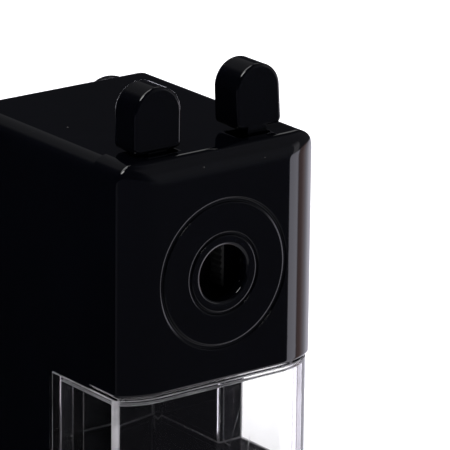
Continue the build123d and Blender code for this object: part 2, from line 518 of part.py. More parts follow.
def lever(sx, ear):
    stem = poly((sx * 14.0, Zh(25.9)), (sx * 9.6, Zh(25.9)), (sx * 9.6, Zh(17.5)), (sx * 7.4, Zh(15.5)), (sx * 5.6, Zh(11)),
                (sx * 4.1, Zh(5.0)), (sx * 4.1, Zh(-5.0)), (sx * 8.6, Zh(-5.0)), (sx * 11.6, Zh(10.5)), (sx * 12.2, Zh(15)), (sx * 14.0, Zh(19)))
    plate = ext_y(stem, Yd(LV0), Yd(LV1))
    plate += rod_y(sx * PIVOT_X, Zh(PIVOT_Z), 3.6, Yd(LV0), Yd(LV1))
    plate += rod_x(Yd(7.3), Zh(19.6), 1.1, min(sx * 9.8, sx * 8.0), max(sx * 9.8, sx * 8.0))
    plate -= rod_y(sx * PIVOT_X, Zh(PIVOT_Z), PIN_R + 0.05, Yd(LV0 - 1), Yd(LV1 + 1))
    return plate + ear


def ear_left():
    x0, x1, z0, z1 = -17.15, -6.3, 24.8, 37.4
    r = (x1 - x0) / 2
    prof = make_face(Wire([Line((x0, Zh(z0)), (x1, Zh(z0))), Line((x1, Zh(z0)), (x1, Zh(z1 - r))),
                           ThreePointArc((x1, Zh(z1 - r)), ((x0 + x1) / 2, Zh(z1)), (x0, Zh(z1 - r))), Line((x0, Zh(z1 - r)), (x0, Zh(z0)))]))
    prof = fillet(prof.vertices().filter_by(lambda v: v.Y < Zh(z0) + 0.01), 1.3)
    e = ext_y(prof, Yd(EAR0), Yd(EAR1))
    return fillet(e.edges().filter_by(lambda q: abs(q.center().Y - Yd(EAR0)) < 0.01 or abs(q.center().Y - Yd(EAR1)) < 0.01), 0.7)


def ear_right():
    zt, zb = 33.0, 25.35
    a, b, c, d = (7.35, zb), (17.95, zb), (17.45, zt), (7.0, zt)
    prof = make_face(Wire([Line((a[0], Zh(a[1])), (b[0], Zh(b[1]))), Line((b[0], Zh(b[1])), (c[0], Zh(c[1]))),
                           ThreePointArc((c[0], Zh(c[1])), (12.25, Zh(38.0)), (d[0], Zh(d[1]))), Line((d[0], Zh(d[1])), (a[0], Zh(a[1])))]))
    prof = fillet(prof.vertices().filter_by(lambda v: v.Y < Zh(zb) + 0.01), 1.3)
    e = ext_y(prof, Yd(EAR0 + 0.5), Yd(EAR1 + 1.1))
    return fillet(e.edges().filter_by(lambda q: abs(q.center().Y - Yd(EAR0 + 0.5)) < 0.01 or abs(q.center().Y - Yd(EAR1 + 1.1)) < 0.01), 0.7)


def jaw_pad(sx):
    pts = [(sx * 4.1, Zh(-4.8)), (sx * 4.1, Zh(4.8))]
    n = 8
    for i in range(n):
        z = 4.8 - 9.6 * i / n
        pts += [(sx * (JAW_GAP + 0.35), Zh(z)), (sx * JAW_GAP, Zh(z - 9.6 / n * 0.5))]
    pts.append((sx * (JAW_GAP + 0.35), Zh(-4.8)))
    return ext_y(poly(*pts), Yd(LV0), Yd(LV1))


put("jaw_lever_left", lever(-1, ear_left()))
put("jaw_lever_right", lever(1, ear_right()))
put("jaw_pad_left", jaw_pad(-1))
put("jaw_pad_right", jaw_pad(1))
J0, J1 = -9.5 + 0.2, 9.5 - 0.2
jh = Helix(pitch=(J1 - J0) / 9, height=J1 - J0, radius=1.55)
jw = sweep(Plane(origin=jh @ 0, z_dir=jh % 0) * Circle(0.2), path=jh)
put("jaw_spring", Pos(J0, Yd(7.3), Zh(19.6)) * Rot(0, 90, 0) * jw)

for name, shape in parts.items():
    export_step(shape, f"parts/{name}.step")
    print(name, round(shape.volume, 1), len(shape.solids()))
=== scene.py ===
import json
import math
import bpy
import bmesh
from mathutils import Vector, Matrix


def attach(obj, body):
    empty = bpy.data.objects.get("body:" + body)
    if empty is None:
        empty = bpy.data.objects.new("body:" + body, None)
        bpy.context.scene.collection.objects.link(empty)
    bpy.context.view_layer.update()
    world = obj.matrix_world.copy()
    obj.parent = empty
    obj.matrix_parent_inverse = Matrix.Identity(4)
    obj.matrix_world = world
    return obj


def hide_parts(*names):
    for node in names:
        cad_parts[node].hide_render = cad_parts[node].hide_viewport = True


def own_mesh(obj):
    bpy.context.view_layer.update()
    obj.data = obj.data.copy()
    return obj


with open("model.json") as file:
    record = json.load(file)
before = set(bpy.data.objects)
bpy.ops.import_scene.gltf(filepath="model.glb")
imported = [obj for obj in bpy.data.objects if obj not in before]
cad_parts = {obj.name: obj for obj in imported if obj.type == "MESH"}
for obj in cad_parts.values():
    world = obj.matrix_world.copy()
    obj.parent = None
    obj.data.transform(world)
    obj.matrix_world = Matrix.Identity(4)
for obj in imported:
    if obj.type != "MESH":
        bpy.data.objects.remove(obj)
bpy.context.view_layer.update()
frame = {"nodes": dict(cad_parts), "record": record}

scene = bpy.context.scene
MM = 0.001

# ------------------------------------------------------------------ sizes shared with the model (mm)
AXIS_Z, FACE_Y = 58.5, -27.5
HALF_W, UNIT_TOP, UNIT_BOT, SEAM_D = 23.3, 24.35, -21.3, 11.6
CORNER_FLAT, CORNER_SET, TOP_START, TOP_SET = 14.3, 3.2, 20.0, 2.8
HOLE_R = 5.45


def Yd(d):
    return FACE_Y + d


def Zh(h):
    return AXIS_Z + h


# ------------------------------------------------------------------ camera
A, E, ROLL = math.radians(-37.259), math.radians(17.881), math.radians(0.628)
F_PX, DIST, U0, V0 = 4475.07, 849.455, 224.33, 273.70
back = Vector((math.sin(A) * math.cos(E), -math.cos(A) * math.cos(E), math.sin(E)))
right0 = Vector((math.cos(A), math.sin(A), 0))
up0 = back.cross(right0)
RIGHT = right0 * math.cos(ROLL) + up0 * math.sin(ROLL)
UP = -right0 * math.sin(ROLL) + up0 * math.cos(ROLL)
ring_centre = Vector((0, FACE_Y, AXIS_Z))
cam_pos = ring_centre + back * DIST - RIGHT * ((U0 - 225) * DIST / F_PX) + UP * ((V0 - 225) * DIST / F_PX)
cam_data = bpy.data.cameras.new("camera")
cam_data.sensor_fit = "HORIZONTAL"
cam_data.sensor_width = 36.0
cam_data.lens = F_PX / 450 * 36.0
cam_data.clip_start = 0.02
cam_data.clip_end = 20
cam = bpy.data.objects.new("camera", cam_data)
scene.collection.objects.link(cam)
m = Matrix.Identity(4)
for i, v in enumerate((RIGHT, UP, back)):
    for r in range(3):
        m[r][i] = v[r]
for r in range(3):
    m[r][3] = cam_pos[r] * MM
cam.matrix_world = m
scene.camera = cam
scene.view_settings.view_transform = "Standard"


# ------------------------------------------------------------------ node helpers
class Nodes:
    def __init__(self, tree):
        self.t = tree
        self.n = tree.nodes
        self.l = tree.links

    def new(self, kind, **props):
        node = self.n.new(kind)
        for k, v in props.items():
            setattr(node, k, v)
        return node

    def put(self, socket, value):
        if isinstance(value, bpy.types.NodeSocket):
            self.l.new(value, socket)
        elif value is not None:
            socket.default_value = value

    def math(self, op, a, b=None, c=None, clamp=False):
        node = self.new("ShaderNodeMath", operation=op, use_clamp=clamp)
        for s, v in zip(node.inputs, (a, b, c)):
            self.put(s, v)
        return node.outputs[0]

    def ramp(self, x, a, b, c=0.0, d=1.0, smooth=True):
        node = self.new("ShaderNodeMapRange", interpolation_type="SMOOTHSTEP" if smooth else "LINEAR")
        node.clamp = True
        for s, v in zip(("Value", "From Min", "From Max", "To Min", "To Max"), (x, a, b, c, d)):
            self.put(node.inputs[s], v)
        return node.outputs[0]

    def mix(self, fac, a, b):
        node = self.new("ShaderNodeMix", data_type="RGBA")
        ins = [s for s in node.inputs if s.enabled]
        self.put(ins[0], fac)
        self.put(ins[1], a)
        self.put(ins[2], b)
        return [s for s in node.outputs if s.enabled][0]

    def noise(self, vec, scale, detail=3.0, rough=0.5, distortion=0.0):
        node = self.new("ShaderNodeTexNoise")
        self.put(node.inputs["Vector"], vec)
        for k, v in (("Scale", scale), ("Detail", detail), ("Roughness", rough), ("Distortion", distortion)):
            node.inputs[k].default_value = v
        return node.outputs["Fac"]

    def stretch(self, vec, scale, rot=(0, 0, 0)):
        node = self.new("ShaderNodeMapping")
        self.put(node.inputs["Vector"], vec)
        node.inputs["Scale"].default_value = scale
        node.inputs["Rotation"].default_value = rot
        return node.outputs[0]

    def scratches(self, vec, scale, width, rot, stretch=(1, 1, 1), keep=0.5):
        """Hairlines where a stretched noise crosses its middle value, kept only in patches."""
        v = self.stretch(vec, stretch, rot)
        n = self.noise(v, scale, 1.0, 0.4, 0.6)
        line = self.ramp(self.math("ABSOLUTE", self.math("SUBTRACT", n, 0.5)), 0.0, width, 1.0, 0.0)
        patch = self.ramp(self.noise(vec, scale * 0.6, 2.0), keep, keep + 0.1)
        return self.math("MULTIPLY", line, patch)

    def specks(self, vec, scale, size, share):
        """Sparse round specks: dust, pores or spatter."""
        node = self.new("ShaderNodeTexVoronoi")
        self.put(node.inputs["Vector"], vec)
        node.inputs["Scale"].default_value = scale
        near = self.ramp(node.outputs["Distance"], size * 0.5, size, 1.0, 0.0)
        some = self.math("LESS_THAN", self.new_sep(node.outputs["Color"]), share)
        return self.math("MULTIPLY", near, some)

    def new_sep(self, colour):
        node = self.new("ShaderNodeSeparateColor")
        self.put(node.inputs[0], colour)
        return node.outputs[0]


def principled(name):
    mat = bpy.data.materials.new(name)
    mat.use_nodes = True
    t = Nodes(mat.node_tree)
    t.n.clear()
    out = t.new("ShaderNodeOutputMaterial")
    bsdf = t.new("ShaderNodeBsdfPrincipled")
    t.l.new(bsdf.outputs[0], out.inputs["Surface"])
    vec = t.new("ShaderNodeTexCoord").outputs["Object"]
    return mat, t, bsdf, vec, out


def bump(t, bsdf, layers):
    """layers: (height, strength, distance in metres), stacked."""
    prev = None
    for h, strength, dist in layers:
        b = t.new("ShaderNodeBump")
        b.inputs["Strength"].default_value = strength
        b.inputs["Distance"].default_value = dist
        t.put(b.inputs["Height"], h)
        if prev is not None:
            t.l.new(prev, b.inputs["Normal"])
        prev = b.outputs[0]
    t.l.new(prev, bsdf.inputs["Normal"])


def edges(t):
    """1 on the rounded edges of a finished piece, 0 elsewhere."""
    return t.new("ShaderNodeAttribute", attribute_type="GEOMETRY", attribute_name="edge").outputs["Fac"]


# ------------------------------------------------------------------ materials
def black_plastic(name, base=(0.0005, 0.0006, 0.0012), low=0.03, high=0.09, peel=0.10, dust=0.35):
    mat, t, b, vec, _ = principled(name)
    tone = t.noise(vec, 26, 4.0, 0.55)
    smear = t.noise(t.stretch(vec, (1, 1, 0.35), (0.3, 0.1, 0.4)), 75, 5.0, 0.6, 0.8)
    hair = t.math("MAXIMUM", t.scratches(vec, 90, 0.0035, (0.3, 0.7, 0.2), (1, 0.25, 1), 0.52),
                  t.scratches(vec, 130, 0.003, (1.1, 0.2, 0.9), (0.3, 1, 1), 0.56))
    fleck = t.specks(vec, 420, 0.10, 0.05 * dust)
    worn = t.math("MULTIPLY", edges(t), t.ramp(t.noise(vec, 160, 3.0), 0.45, 0.65))
    c0 = t.mix(t.ramp(tone, 0.35, 0.7), (*base, 1), (base[0] * 1.5, base[1] * 1.5, base[2] * 1.55, 1))
    c1 = t.mix(t.math("MULTIPLY", worn, 0.35), c0, (0.02, 0.02, 0.022, 1))
    c2 = t.mix(t.math("MULTIPLY", fleck, 0.35), c1, (0.16, 0.155, 0.15, 1))
    t.put(b.inputs["Base Color"], c2)
    rough = t.ramp(smear, 0.35, 0.75, low, high)
    rough = t.math("ADD", rough, t.math("MULTIPLY", hair, 0.12))
    rough = t.math("ADD", rough, t.math("MULTIPLY", fleck, 0.4))
    rough = t.math("ADD", rough, t.math("MULTIPLY", worn, 0.06), clamp=True)
    t.put(b.inputs["Roughness"], rough)
    b.inputs["IOR"].default_value = 1.5
    bump(t, b, [(t.noise(vec, 300, 2.0, 0.4), peel, 0.00002), (hair, 0.12, 0.000006), (fleck, 0.3, 0.00002)])
    return mat


def matte_black(name, base=(0.012, 0.012, 0.013), texture=0.5):
    mat, t, b, vec, _ = principled(name)
    grain = t.noise(vec, 2600, 3.0, 0.6)
    tone = t.noise(vec, 60, 4.0, 0.5)
    rub = t.math("MULTIPLY", edges(t), t.ramp(t.noise(vec, 220, 3.0), 0.4, 0.7))
    t.put(b.inputs["Base Color"], t.mix(t.math("MULTIPLY", rub, 0.5), t.mix(tone, (*base, 1), tuple(2.2 * v for v in base) + (1,)), (0.06, 0.06, 0.062, 1)))
    t.put(b.inputs["Roughness"], t.ramp(t.noise(vec, 90, 4.0), 0.3, 0.7, 0.42, 0.62))
    b.inputs["IOR"].default_value = 1.5
    bump(t, b, [(grain, texture, 0.00003)])
    return mat


def rubber(name):
    mat, t, b, vec, _ = principled(name)
    tone = t.noise(vec, 120, 5.0, 0.6)
    dust = t.math("MULTIPLY", t.ramp(t.noise(vec, 45, 4.0), 0.5, 0.75), t.ramp(t.noise(vec, 900, 2.0), 0.4, 0.7))
    t.put(b.inputs["Base Color"], t.mix(t.math("MULTIPLY", dust, 0.4), t.mix(tone, (0.012, 0.012, 0.012, 1), (0.03, 0.03, 0.031, 1)), (0.14, 0.135, 0.13, 1)))
    t.put(b.inputs["Roughness"], t.ramp(tone, 0.3, 0.7, 0.68, 0.9))
    b.inputs["IOR"].default_value = 1.52
    bump(t, b, [(t.noise(vec, 1800, 4.0, 0.6), 0.5, 0.00004)])
    return mat


def metal(name, lo, hi, r0, r1, grain_axis=None, grain=1400, pits=0.0, depth=0.15, stain=(0.2, 0.19, 0.17), stain_by=0.25, cast=0.0):
    mat, t, b, vec, _ = principled(name)
    b.inputs["Metallic"].default_value = 1.0
    if grain_axis is not None:
        s = [1.0, 1.0, 1.0]
        s[grain_axis] = 0.03
        line = t.noise(t.stretch(vec, tuple(s)), grain, 2.0, 0.6)
    else:
        line = t.noise(vec, grain, 3.0, 0.6)
    cloud = t.noise(vec, 130, 4.0, 0.55)
    hair = t.scratches(vec, 240, 0.006, (0.4, 0.9, 0.3), (1, 0.3, 1), 0.5)
    spot = t.math("MULTIPLY", t.ramp(t.noise(vec, 260, 5.0, 0.65), 0.58, 0.72), stain_by)
    col = t.mix(t.ramp(cloud, 0.3, 0.7), (*lo, 1), (*hi, 1))
    col = t.mix(spot, col, (*stain, 1))
    t.put(b.inputs["Base Color"], col)
    rough = t.math("ADD", t.ramp(line, 0.3, 0.7, r0, r1), t.math("MULTIPLY", hair, 0.15))
    rough = t.math("ADD", rough, t.math("MULTIPLY", spot, 0.5), clamp=True)
    t.put(b.inputs["Roughness"], rough)
    layers = [(line, depth, 0.00001), (hair, 0.2, 0.00001)]
    if cast:
        layers.append((t.noise(vec, 700, 4.0, 0.6), cast, 0.00006))
    if pits:
        layers.append((t.specks(vec, 900, 0.25, pits), -0.6, 0.00004))
    bump(t, b, layers)
    return mat


def acetal(name):
    mat, t, b, vec, _ = principled(name)
    grime = t.math("MULTIPLY", t.ramp(t.noise(vec, 190, 5.0, 0.65), 0.5, 0.7), 0.45)
    t.put(b.inputs["Base Color"], t.mix(grime, (0.72, 0.71, 0.66, 1), (0.16, 0.155, 0.15, 1)))
    t.put(b.inputs["Roughness"], t.ramp(t.noise(vec, 120, 4.0), 0.3, 0.7, 0.28, 0.46))
    b.inputs["Subsurface Weight"].default_value = 0.15
    b.inputs["Subsurface Radius"].default_value = (0.001, 0.001, 0.0008)
    bump(t, b, [(t.noise(vec, 1500, 3.0), 0.2, 0.00002)])
    return mat


def clear_plastic(name):
    mat, t, b, vec, out = principled(name)
    hair = t.math("MAXIMUM", t.scratches(vec, 110, 0.0035, (0.2, 0.5, 0.2), (1, 1, 0.25), 0.5),
                  t.scratches(vec, 150, 0.003, (0.9, 0.1, 0.5), (0.3, 1, 1), 0.55))
    cloud = t.noise(vec, 70, 4.0, 0.6, 0.5)
    t.put(b.inputs["Base Color"], t.mix(cloud, (0.985, 0.985, 0.99, 1), (0.96, 0.955, 0.965, 1)))
    b.inputs["Transmission Weight"].default_value = 1.0
    b.inputs["IOR"].default_value = 1.49
    t.put(b.inputs["Roughness"], t.math("ADD", t.ramp(cloud, 0.35, 0.7, 0.01, 0.05), t.math("MULTIPLY", hair, 0.2), clamp=True))
    bump(t, b, [(t.noise(vec, 45, 2.0, 0.4), 0.35, 0.00012), (hair, 0.2, 0.00001)])
    film = t.new("ShaderNodeBsdfDiffuse")
    t.put(film.inputs["Color"], t.mix(t.noise(vec, 300, 4.0), (0.05, 0.042, 0.04, 1), (0.12, 0.11, 0.105, 1)))
    # Painted highlight: a pale diffuse and translucent layer on the rounded edges stands in for the bright edge strips
    # of the clear plastic.
    painted_highlight_diffuse = t.new("ShaderNodeBsdfDiffuse")
    painted_highlight_diffuse.inputs["Color"].default_value = (0.9, 0.88, 0.92, 1)
    painted_highlight_translucent = t.new("ShaderNodeBsdfTranslucent")
    painted_highlight_translucent.inputs["Color"].default_value = (0.9, 0.88, 0.92, 1)
    painted_highlight_layer = t.new("ShaderNodeMixShader")
    painted_highlight_layer.inputs[0].default_value = 0.5
    t.l.new(painted_highlight_diffuse.outputs[0], painted_highlight_layer.inputs[1])
    t.l.new(painted_highlight_translucent.outputs[0], painted_highlight_layer.inputs[2])
    # Painted highlight mask: the rounded edges take the pale layer in patches.
    painted_highlight_mix = t.new("ShaderNodeMixShader")
    t.put(painted_highlight_mix.inputs[0], t.math("MULTIPLY", edges(t), t.ramp(t.noise(vec, 180, 3.0), 0.3, 0.7, 0.3, 0.62)))
    t.l.new(b.outputs[0], painted_highlight_mix.inputs[1])
    t.l.new(painted_highlight_layer.outputs[0], painted_highlight_mix.inputs[2])
    mixer = t.new("ShaderNodeMixShader")
    t.put(mixer.inputs[0], t.math("MAXIMUM", t.ramp(t.noise(vec, 95, 5.0, 0.65, 0.6), 0.45, 0.8, 0.0, 0.03), t.math("MULTIPLY", t.specks(vec, 500, 0.12, 0.08), 0.35)))
    t.l.new(painted_highlight_mix.outputs[0], mixer.inputs[1])
    t.l.new(film.outputs[0], mixer.inputs[2])
    t.l.new(mixer.outputs[0], out.inputs["Surface"])
    return mat


M = {
    "gloss": black_plastic("gloss_black"),
    "gloss_base": black_plastic("gloss_black_base", low=0.06, high=0.16, dust=1.0),
    "knob": black_plastic("gloss_black_knob", low=0.08, high=0.22, dust=0.6),
    "matte": matte_black("matte_black"),
    "rubber": rubber("rubber_black"),
    "clear": clear_plastic("clear_plastic"),
    "acetal": acetal("white_acetal"),
    "zinc": metal("cast_zinc", (0.42, 0.42, 0.44), (0.55, 0.55, 0.56), 0.38, 0.55, grain=500, cast=0.35),
    "cutter": metal("ground_steel", (0.36, 0.36, 0.38), (0.5, 0.5, 0.51), 0.2, 0.36, grain=2200, stain=(0.12, 0.11, 0.1)),
    "steel": metal("drawn_steel", (0.55, 0.55, 0.56), (0.66, 0.66, 0.66), 0.14, 0.3, grain_axis=1, grain=2600),
    "washer": metal("rolled_steel", (0.5, 0.5, 0.5), (0.62, 0.62, 0.61), 0.25, 0.42, grain_axis=0, grain=1800),
    "screws": metal("zinc_plated_steel", (0.56, 0.57, 0.58), (0.7, 0.69, 0.64), 0.2, 0.38, grain=900, stain=(0.35, 0.3, 0.18)),
    "spring": metal("spring_wire", (0.4, 0.4, 0.42), (0.55, 0.55, 0.56), 0.2, 0.34, grain=3000),
    "bronze": metal("sintered_bronze", (0.44, 0.28, 0.12), (0.58, 0.4, 0.19), 0.36, 0.55, grain=900, pits=0.35, stain=(0.12, 0.08, 0.04)),
    "chrome": metal("chrome", (0.78, 0.78, 0.79), (0.86, 0.86, 0.87), 0.29, 0.34, grain=600, depth=0.01, stain=(0.6, 0.6, 0.6), stain_by=0.06),
}
NODE_MAT = {
    "housing": "gloss", "drawer_frame": "gloss", "base": "gloss_base", "face_plate": "gloss", "jaw_lever_left": "gloss", "jaw_lever_right": "gloss", "crank_knob": "knob",
    "bulkhead": "matte", "chuck_plate": "matte", "ring_gear": "acetal", "drawer": "clear", "rubber_sole": "rubber", "jaw_pad_left": "rubber",
    "jaw_pad_right": "rubber", "cutter_cage": "zinc", "helical_cutter": "cutter", "cutter_pinion": "cutter", "cutter_axle": "steel",
    "crank_shaft": "steel", "guide_rods": "steel", "lever_pins": "steel", "knob_pin": "steel", "rod_clips": "spring", "crank_washer": "washer",
    "base_screws": "screws", "bulkhead_screws": "screws", "ring_gear_screws": "screws", "chuck_screws": "screws", "axle_set_screw": "screws",
    "crank_screw": "screws", "return_springs": "spring", "jaw_spring": "spring", "front_bushing": "bronze", "rear_bushing": "bronze",
    "crank_arm": "chrome",
}
BODY = {n: b for b, ns in frame["record"]["behaviour"]["bodies"].items() for n in ns}
for node, key in NODE_MAT.items():
    if node not in frame["nodes"]:
        continue
    ob = frame["nodes"][node]
    ob.data.materials.clear()
    ob.data.materials.append(M[key])


# ------------------------------------------------------------------ mesh helpers
def to_object(name, mesh, mat):
    mesh.materials.clear()
    mesh.materials.append(mat)
    ob = bpy.data.objects.new(name, mesh)
    scene.collection.objects.link(ob)
    return ob


def applied(ob):
    dg = bpy.context.evaluated_depsgraph_get()
    dg.update()
    mesh = bpy.data.meshes.new_from_object(ob.evaluated_get(dg), preserve_all_data_layers=True, depsgraph=dg)
    old = ob.data
    ob.modifiers.clear()
    ob.data = mesh
    bpy.data.meshes.remove(old)
    return ob


def smooth(ob, angle=35.0):
    mesh = ob.data
    mesh.polygons.foreach_set("use_smooth", [True] * len(mesh.polygons))
    mesh.set_sharp_from_angle(angle=math.radians(angle))
    w = ob.modifiers.new("weighted", "WEIGHTED_NORMAL")
    w.keep_sharp = True
    w.weight = 80
    return applied(ob)


def mark_edges(ob):
    """Bevelled faces carry material 1; keep that as a face value and use one material."""
    mesh = ob.data
    n = len(mesh.polygons)
    idx = [0] * n
    mesh.polygons.foreach_get("material_index", idx)
    mesh.attributes.new("edge", "FLOAT", "FACE").data.foreach_set("value", [float(i == 1) for i in idx])
    mesh.polygons.foreach_set("material_index", [0] * n)
    mesh.materials.pop(index=1)


def tidy(ob):
    """Remove slivers left apart from the rest of the mesh."""
    bm = bmesh.new()
    bm.from_mesh(ob.data)
    bmesh.ops.remove_doubles(bm, verts=bm.verts, dist=1e-7)
    seen, loose = set(), []
    for start in bm.faces:
        if start in seen:
            continue
        island, todo = [], [start]
        seen.add(start)
        while todo:
            f = todo.pop()
            island.append(f)
            for e in f.edges:
                for g in e.link_faces:
                    if g not in seen:
                        seen.add(g)
                        todo.append(g)
        if len(island) < 12:
            loose += island
    bmesh.ops.delete(bm, geom=loose, context="FACES")
    bm.to_mesh(ob.data)
    bm.free()
    return ob


def finish_piece(ob, *nodes, body=None):
    tidy(ob)
    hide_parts(*nodes)
    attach(ob, body or BODY[nodes[0]])
    return ob


def soften(node, width=0.25, segments=3, angle=32.0, crisp=(), heavy=None, light=1.0, clamp=True):
    """The node's own shape with its sharp edges rounded, as moulded or cast."""
    mesh = frame["nodes"][node].data.copy()
    mesh.name = node + "_finished"
    if "custom_normal" in mesh.attributes:
        mesh.attributes.remove(mesh.attributes["custom_normal"])
    bm = bmesh.new()
    bm.from_mesh(mesh)
    bmesh.ops.remove_doubles(bm, verts=bm.verts, dist=2e-6)
    bmesh.ops.dissolve_limit(bm, angle_limit=math.radians(0.4), verts=bm.verts, edges=bm.edges, use_dissolve_boundaries=False)
    for f in bm.faces:
        f.smooth = True
    wl = bm.edges.layers.float.new("bevel_weight_edge")
    for e in bm.edges:
        if len(e.link_faces) == 2 and e.calc_face_angle(0) > math.radians(angle):
            if not any(all(abs(v.co[axis] - at * MM) < 2e-5 for v in e.verts) for axis, at in crisp):
                e[wl] = 1.0 if heavy is not None and heavy(e) else light
    bm.to_mesh(mesh)
    bm.free()
    ob = to_object(node + "_finished", mesh, M[NODE_MAT[node]])
    b = ob.modifiers.new("bevel", "BEVEL")
    b.width = width * MM
    b.segments = segments
    b.material = 1
    b.limit_method = "WEIGHT"
    b.use_clamp_overlap = clamp
    b.miter_outer = "MITER_ARC"
    ob.data.materials.append(M[NODE_MAT[node]])
    applied(ob)
    mark_edges(ob)
    smooth(ob, 40)
    return finish_piece(ob, node)


# ------------------------------------------------------------------ face plate: one closed skin laid round the pencil hole
def plate_depth(x, z):
    r = HALF_W - CORNER_FLAT
    rx = (r * r + CORNER_SET ** 2) / (2 * CORNER_SET)
    t = UNIT_TOP - TOP_START
    rz = (t * t + TOP_SET ** 2) / (2 * TOP_SET)
    u = max(0.0, abs(x) - CORNER_FLAT)
    v = max(0.0, z - TOP_START)
    dx = rx - math.sqrt(max(rx * rx - u * u, 0))
    dz = rz - math.sqrt(max(rz * rz - v * v, 0))
    return (dx ** 1.7 + dz ** 1.7) ** (1 / 1.7)


def plate_ray(a, inset):
    """Where a ray at angle a from the axis meets the plate's outline, moved in by inset."""
    hx, z0, z1 = HALF_W - inset, UNIT_BOT + inset, UNIT_TOP - inset
    c, s = math.cos(a), math.sin(a)
    t = min([hx / abs(c) if abs(c) > 1e-9 else 1e9, (z1 / s) if s > 1e-9 else 1e9, (z0 / s) if s < -1e-9 else 1e9])
    x, z = t * c, t * s
    r = max(0.05, (4.0 if z > 0 else 0.7) - inset)
    cx, cz = math.copysign(hx - r, x), (z1 - r if z > 0 else z0 + r)
    if abs(x) > hx - r and ((z > z1 - r) if z > 0 else (z < z0 + r)):
        # ray against the corner's circle
        b = c * cx + s * cz
        q = b * b - (cx * cx + cz * cz - r * r)
        t = b + math.sqrt(max(q, 0))
        x, z = t * c, t * s
    return x, z


